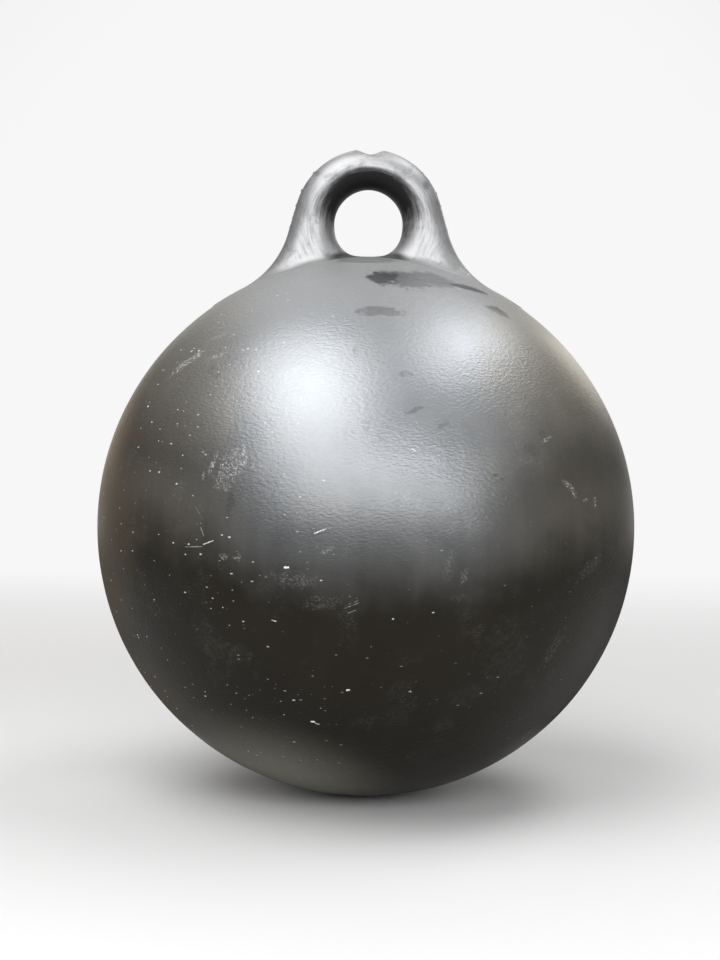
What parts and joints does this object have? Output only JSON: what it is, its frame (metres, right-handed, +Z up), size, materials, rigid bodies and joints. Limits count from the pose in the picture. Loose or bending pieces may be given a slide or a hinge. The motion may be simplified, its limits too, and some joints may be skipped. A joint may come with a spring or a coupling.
{
  "type": "mussel float",
  "caption": "Hollow black plastic ball float for mussel lines, with a thick moulded rope eye on its crown and a trimmed parting line.",
  "frame": {"origin": "the ball's centre, on the working waterline at the ball's equator", "axes": "+Z up through the crown and the rope eye, Y through the eye's hole, X along the mould's parting plane across the eye; the front faces -Y"},
  "size_m": [0.301, 0.3, 0.3637],
  "materials": {
    "ball_plastic": "black polyethylene, fine rippled moulded skin, dusty crown, scuffed",
    "eye_plastic": "black polyethylene, smooth moulded skin with rope scuffs",
    "trimmed_flash": "black polyethylene, knife-trimmed and ragged"
  },
  "bodies": {
    "root": {"shell_front": "ball_plastic", "shell_back": "ball_plastic", "rope_eye": "eye_plastic", "parting_flash_right": "trimmed_flash", "parting_flash_left": "trimmed_flash", "bottom_pinch_weld": "trimmed_flash"}
  },
  "joints": []
}
